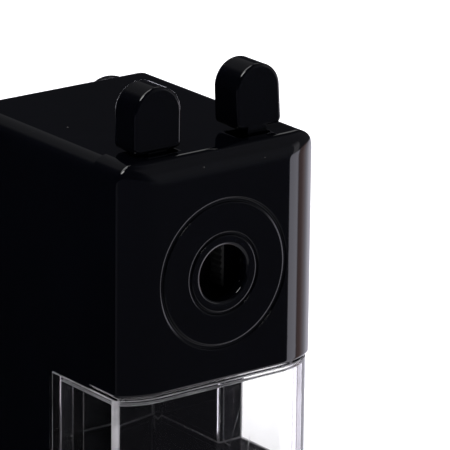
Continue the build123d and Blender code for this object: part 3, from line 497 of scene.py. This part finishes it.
def make_plate():
    angles = [2 * math.pi * i / 360 for i in range(360)]
    for cx, cz, span, n in ((HALF_W - 2, UNIT_TOP - 2, 0.16, 60), (-HALF_W + 2, UNIT_TOP - 2, 0.16, 60), (HALF_W, UNIT_BOT, 0.05, 24), (-HALF_W, UNIT_BOT, 0.05, 24)):
        a0 = math.atan2(cz, cx) % (2 * math.pi)
        angles += [a0 + span * (2 * j / (n - 1) - 1) for j in range(n)]
    angles = sorted(set(round(a % (2 * math.pi), 5) for a in angles))
    keep = [angles[0]]
    for a in angles[1:]:
        if a - keep[-1] > 0.0012:
            keep.append(a)
    angles = keep
    front = [("c", HOLE_R, 2.3)]
    front += [("c", HOLE_R, 0.8)] + [("c", HOLE_R + 0.8 * (1 - math.cos(q)), 0.8 * (1 - math.sin(q))) for q in (math.radians(15 * k) for k in range(1, 7))]
    for r0, r1 in ((7.55, 8.25), (14.1, 15.0)):
        g, mid = 0.42, (r0 + r1) / 2
        front += [("c", r0 - 0.3, 0.0), ("c", r0 - 0.09, 0.0), ("c", r0 - 0.03, 0.02), ("c", r0 + 0.01, 0.07), ("c", r0 + 0.05, g * 0.6), ("c", r0 + 0.14, g * 0.93), ("c", mid, g),
                  ("c", r1 - 0.14, g * 0.93), ("c", r1 - 0.05, g * 0.6), ("c", r1 - 0.01, 0.07), ("c", r1 + 0.03, 0.02), ("c", r1 + 0.09, 0.0), ("c", r1 + 0.3, 0.0)]
    steps = 34
    edge = 0.55
    rows = [[] for _ in angles]
    for i, a in enumerate(angles):
        c, s = math.cos(a), math.sin(a)
        pts = rows[i]
        for _, r, d in front:
            pts.append((r * c, d + plate_depth(r * c, r * s), r * s))
        r_in = 15.45
        ex, ez = plate_ray(a, edge)
        r_out = math.hypot(ex, ez)
        for k in range(1, steps + 1):
            r = r_in + (r_out - r_in) * k / steps
            pts.append((r * c, plate_depth(r * c, r * s), r * s))
        # rounded border: from the front surface to the side wall
        p0 = Vector(pts[-1])
        ox, oz = plate_ray(a, 0.0)
        corner = Vector((ox, plate_depth(ox, oz), oz))
        p1 = corner + Vector((0, edge, 0))
        for k in range(1, 8):
            q = k / 8
            p = p0 * (1 - q) ** 2 + corner * 2 * q * (1 - q) + p1 * q * q
            pts.append(tuple(p))
        pts.append(tuple(p1))
        d_end = SEAM_D - 0.2
        for d in (max(p1.y + 0.5, 4.5), 6.5, 9.0):
            pts.append((ox, d, oz))
        pts.append((ox, d_end, oz))
        wx, wz = plate_ray(a, 2.2)
        pts.append((wx, d_end, wz))
        pts.append((wx, 6.2, wz))
        base = max(plate_depth(wx, wz) + 2.3, 2.3)
        pts.append((wx, base + 0.4, wz))
        for r in (0.985, 0.95, 0.9, 0.8, 0.7, 0.55, 0.4):
            x, z = wx * r, wz * r
            pts.append((x, plate_depth(x, z) + 2.3, z))
    n, mrow = len(rows), len(rows[0])
    verts = [(x * MM, Yd(y) * MM, Zh(z) * MM) for row in rows for x, y, z in row]
    faces = []
    for i in range(n):
        j = (i + 1) % n
        for k in range(mrow):
            l = (k + 1) % mrow
            faces.append((i * mrow + k, i * mrow + l, j * mrow + l, j * mrow + k))
    mesh = bpy.data.meshes.new("face_plate_finished")
    mesh.from_pydata(verts, [], faces)
    bm = bmesh.new()
    bm.from_mesh(mesh)
    bmesh.ops.recalc_face_normals(bm, faces=bm.faces)
    bm.to_mesh(mesh)
    bm.free()
    ob = to_object("face_plate_finished", mesh, M["gloss"])
    # slots for the stems of the jaw levers
    for sx in (-1, 1):
        bm = bmesh.new()
        x0, x1, y0, y1, r = sx * 7.0, sx * 14.8, Yd(4.7), Yd(10.3), 1.2
        x0, x1 = min(x0, x1), max(x0, x1)
        ring = []
        for cx, cy, a0 in ((x1 - r, y1 - r, 0), (x0 + r, y1 - r, 90), (x0 + r, y0 + r, 180), (x1 - r, y0 + r, 270)):
            ring += [(cx + r * math.cos(math.radians(a0 + q)), cy + r * math.sin(math.radians(a0 + q))) for q in range(0, 91, 9)]
        lo = [bm.verts.new((x * MM, y * MM, Zh(20.9) * MM)) for x, y in ring]
        hi = [bm.verts.new((x * MM, y * MM, Zh(27) * MM)) for x, y in ring]
        for k in range(len(ring)):
            l = (k + 1) % len(ring)
            bm.faces.new((lo[k], lo[l], hi[l], hi[k]))
        bm.faces.new(hi)
        bm.faces.new(list(reversed(lo)))
        bmesh.ops.recalc_face_normals(bm, faces=bm.faces)
        cm = bpy.data.meshes.new("cut")
        bm.to_mesh(cm)
        bm.free()
        cut = bpy.data.objects.new("cut", cm)
        scene.collection.objects.link(cut)
        bo = ob.modifiers.new("slot", "BOOLEAN")
        bo.object = cut
        bo.operation = "DIFFERENCE"
        bo.solver = "EXACT"
        applied(ob)
        bpy.data.objects.remove(cut)
    b = ob.modifiers.new("bevel", "BEVEL")
    bm = bmesh.new()
    bm.from_mesh(ob.data)
    wl = bm.edges.layers.float.new("bevel_weight_edge")
    for e in bm.edges:
        if len(e.link_faces) == 2 and e.calc_face_angle(0) > math.radians(50) and not all(abs(v.co.y - Yd(SEAM_D - 0.2) * MM) < 2e-5 for v in e.verts):
            e[wl] = 1.0
    bm.to_mesh(ob.data)
    bm.free()
    b.width = 0.22 * MM
    b.segments = 2
    b.limit_method = "WEIGHT"
    b.use_clamp_overlap = True
    b.material = 1
    ob.data.materials.append(M["gloss"])
    applied(ob)
    mark_edges(ob)
    smooth(ob, 40)
    return finish_piece(ob, "face_plate")


make_plate()
WELD = AXIS_Z - 21.65


def upright_corner(e):
    """The drawer's outer vertical corners."""
    a, b = (v.co for v in e.verts)
    return abs(abs(a.x) - 23.0 * MM) < 3e-5 and abs(abs(b.x) - 23.0 * MM) < 3e-5 and abs(a.z - b.z) > 3 * MM and a.y < -15 * MM


for node, w in (("housing", 0.3), ("drawer_frame", 0.3), ("base", 0.3), ("jaw_lever_left", 0.25), ("jaw_lever_right", 0.25), ("drawer", 0.3), ("bulkhead", 0.25), ("chuck_plate", 0.2),
                ("cutter_cage", 0.3), ("crank_washer", 0.1), ("crank_arm", 0.3), ("crank_screw", 0.12)):
    if node == "housing":
        soften(node, w, crisp=((2, WELD + 0.005), (1, Yd(SEAM_D))))
    elif node == "drawer_frame":
        soften(node, w, crisp=((2, WELD - 0.005),))
    elif node == "drawer":
        soften(node, 1.0, 4, heavy=upright_corner, light=0.24, clamp=False)
    else:
        soften(node, w)

# ------------------------------------------------------------------ springs: round wire with closed end turns
def coil(bm, place, length, radius, wire, turns, steps=28, sides=10):
    """A helix of round wire; place(u, v, w) puts a point (along, across, up) of the spring into the frame, all in mm."""
    pitch = (length - 2 * wire - 2 * 2 * wire * 0.98) / (turns - 2)
    rings = []
    n = turns * steps
    for i in range(n + 1):
        k = i / steps
        if k < 1:
            along = wire + 2 * wire * 0.98 * k
        elif k > turns - 1:
            along = length - wire - 2 * wire * 0.98 * (turns - k)
        else:
            along = wire + 2 * wire * 0.98 + pitch * (k - 1)
        a = 2 * math.pi * k
        ring = []
        for j in range(sides):
            b = 2 * math.pi * j / sides
            out = radius + wire * math.cos(b)
            ring.append(bm.verts.new(place(along + wire * math.sin(b), out * math.cos(a), out * math.sin(a))))
        rings.append(ring)
    for lo, hi in zip(rings, rings[1:]):
        for j in range(sides):
            bm.faces.new((lo[j], lo[(j + 1) % sides], hi[(j + 1) % sides], hi[j]))
    bm.faces.new(rings[0])
    bm.faces.new(list(reversed(rings[-1])))


def spring_piece(node, build):
    bm = bmesh.new()
    build(bm)
    bmesh.ops.recalc_face_normals(bm, faces=bm.faces)
    mesh = bpy.data.meshes.new(node + "_wire")
    bm.to_mesh(mesh)
    bm.free()
    ob = to_object(node + "_wire", mesh, M[NODE_MAT[node]])
    smooth(ob, 50)
    return finish_piece(ob, node)


def return_pair(bm):
    for sx in (-1, 1):
        coil(bm, lambda u, v, w: ((sx * 18.0 + v) * MM, (-12.88 + u) * MM, (Zh(-13.0) + w) * MM), 32.9, 2.2, 0.25, 13)


def lever_spring(bm):
    coil(bm, lambda u, v, w: ((-9.48 + u) * MM, (Yd(7.3) + v) * MM, (Zh(19.6) + w) * MM), 18.96, 1.55, 0.2, 11)


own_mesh(spring_piece("return_springs", return_pair))
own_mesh(spring_piece("jaw_spring", lever_spring))

# ------------------------------------------------------------------ floor and light
fm = bpy.data.meshes.new("floor")
fm.from_pydata([(-6, -6, 0), (6, -6, 0), (6, 6, 0), (-6, 6, 0)], [], [(0, 1, 2, 3)])
floor = bpy.data.objects.new("floor", fm)
scene.collection.objects.link(floor)
fmat, t, b, vec, out = principled("pale_floor")
b.inputs["Base Color"].default_value = (0.86, 0.86, 0.87, 1)
b.inputs["Roughness"].default_value = 0.9
b.inputs["Specular IOR Level"].default_value = 0.2
b.inputs["Emission Color"].default_value = (1, 0.995, 1, 1)
b.inputs["Emission Strength"].default_value = 0.72
gone = t.new("ShaderNodeBsdfTransparent")
mixer = t.new("ShaderNodeMixShader")
t.put(mixer.inputs[0], t.math("GREATER_THAN", t.new("ShaderNodeLightPath").outputs["Glossy Depth"], 0.5))
t.l.new(b.outputs[0], mixer.inputs[1])
t.l.new(gone.outputs[0], mixer.inputs[2])
t.l.new(mixer.outputs[0], out.inputs["Surface"])
fm.materials.append(fmat)
floor.visible_glossy = False


def area(name, pos, target, size, power, colour=(1, 1, 1), glossy=False):
    d = bpy.data.lights.new(name, "AREA")
    d.shape = "RECTANGLE"
    d.size, d.size_y = size
    d.energy = power
    d.color = colour
    o = bpy.data.objects.new(name, d)
    scene.collection.objects.link(o)
    o.location = pos
    o.rotation_euler = (Vector(target) - Vector(pos)).to_track_quat("-Z", "Y").to_euler()
    o.visible_glossy = glossy
    return o


area("soft_top", (-0.25, -0.35, 1.5), (0, 0, 0.05), (1.3, 1.3), 13)

world = bpy.data.worlds.new("studio")
scene.world = world
world.use_nodes = True
w = Nodes(world.node_tree)
w.n.clear()
wout = w.new("ShaderNodeOutputWorld")
gen = w.new("ShaderNodeTexCoord").outputs["Generated"]
sep = w.new("ShaderNodeSeparateXYZ")
w.l.new(gen, sep.inputs[0])
dx, dy, dz = sep.outputs
turn = w.math("ARCTAN2", w.math("MULTIPLY", dy, -1.0), w.math("MULTIPLY", dx, -1.0))
turn = w.math("MULTIPLY", turn, 180 / math.pi)
turn = w.math("FLOORED_MODULO", w.math("ADD", turn, 360.0), 360.0)     # 0 left, 90 front, 180 right, 270 back
rise = w.math("MULTIPLY", w.math("ARCSINE", dz), 180 / math.pi)


def panel(a0, a1, e0, e1, strength, colour=(1, 1, 1), sa=2.0, se=2.0, sa1=None, se1=None):
    sa1, se1 = sa1 or sa, se1 or se
    mask = w.math("MULTIPLY", w.ramp(turn, a0 - sa, a0 + sa), w.ramp(turn, a1 - sa1, a1 + sa1, 1.0, 0.0))
    mask = w.math("MULTIPLY", mask, w.math("MULTIPLY", w.ramp(rise, e0 - se, e0 + se), w.ramp(rise, e1 - se1, e1 + se1, 1.0, 0.0)))
    mask = w.math("MULTIPLY", mask, strength)
    return mask, colour


def disc(direction, r0, r1, strength, colour=(1, 1, 1)):
    d = Vector(direction).normalized()
    node = w.new("ShaderNodeVectorMath", operation="DOT_PRODUCT")
    w.l.new(gen, node.inputs[0])
    node.inputs[1].default_value = d
    return w.math("MULTIPLY", w.ramp(node.outputs["Value"], math.cos(math.radians(r1)), math.cos(math.radians(r0))), strength), colour


LIGHTS = [
    panel(137.5, 157, -48, -9, 1.95, (0.93, 0.91, 1.04), 0.8, 9.0, 2.2, 2.0),     # pale table on the right
    panel(158, 176, -95, -7, 0.42, (1.1, 0.72, 0.66), 3.0, 3.0, 6.0),        # wooden edge beside it
    panel(179, 280, -48, -9, 1.75, (0.93, 0.91, 1.03), 15.0, 9.0, 7.0, 2.0),      # table behind
    panel(139, 152, -9, 24, 0.5, (0.96, 0.95, 1.0), 1.2, 2.0, 2.0, 10.0),    # wall behind the table
    panel(217, 236, 27, 41, 0.8, (1, 1, 1), 2.0, 2.0),                       # window, right and behind
    panel(227, 284, 20.5, 44, 0.09, (0.97, 0.97, 1.0), 1.5, 1.2, 8.0, 3.0),  # far wall
    panel(112, 200, -2, 60, 0.11, (0.95, 0.95, 1.05), 10.0, 12.0),           # front, above
    disc((-0.49, -0.04, 0.87), 11, 14, 7.0),                                 # lamp above, left
    panel(60, 300, 0, 95, 0.016, (1, 0.98, 1.15), 8.0, 2.0),
    panel(40, 260, -95, 0, 0.05, (0.95, 0.93, 1.15), 3.0, 2.0, 8.0),
    panel(4, 38, -45, -2, 0.11, (0.95, 0.93, 1.1), 3.0, 3.0),
    panel(238, 350, 49, 80, 2.4, (1, 1, 1), 4.0, 2.0),                       # softbox above and behind
    panel(272, 350, -85, -31, 0.55, (0.96, 0.96, 1.02), 4.0, 2.5),           # table close by, seen from behind
    panel(44, 262, -85, -26, 0.35, (0.96, 0.96, 1.02), 4.0, 2.5),            # table close by, in front
    panel(250, 284, -62, 2, 0.4, (0.97, 0.97, 1.0), 9.0, 6.0),               # pale wall behind
    panel(100, 150, -15, 30, 0.03, (0.9, 1.0, 1.2), 12.0, 5.0),              # dim far side of the room
    panel(0, 360, -95, 95, 0.006, (0.9, 1.0, 1.2), 1.0, 2.0),
]
total = None
for mask, colour in LIGHTS:
    c = w.new("ShaderNodeVectorMath", operation="SCALE")
    c.inputs[0].default_value = colour
    w.l.new(mask, c.inputs["Scale"])
    if total is None:
        total = c.outputs[0]
    else:
        s = w.new("ShaderNodeVectorMath", operation="ADD")
        w.l.new(total, s.inputs[0])
        w.l.new(c.outputs[0], s.inputs[1])
        total = s.outputs[0]
floor0 = w.new("ShaderNodeVectorMath", operation="MAXIMUM")
w.l.new(total, floor0.inputs[0])
floor0.inputs[1].default_value = (0, 0, 0)
bg_env = w.new("ShaderNodeBackground")
w.l.new(floor0.outputs[0], bg_env.inputs[0])
bg_white = w.new("ShaderNodeBackground")
bg_white.inputs[0].default_value = (1, 1, 1, 1)
bg_white.inputs[1].default_value = 1.05
path = w.new("ShaderNodeLightPath")
seen = w.math("MAXIMUM", path.outputs["Is Camera Ray"], path.outputs["Is Transmission Ray"])
seen = w.math("MULTIPLY", seen, w.math("LESS_THAN", path.outputs["Glossy Depth"], 0.5))
mixer = w.new("ShaderNodeMixShader")
w.l.new(seen, mixer.inputs[0])
w.l.new(bg_env.outputs[0], mixer.inputs[1])
w.l.new(bg_white.outputs[0], mixer.inputs[2])
w.l.new(mixer.outputs[0], wout.inputs[0])
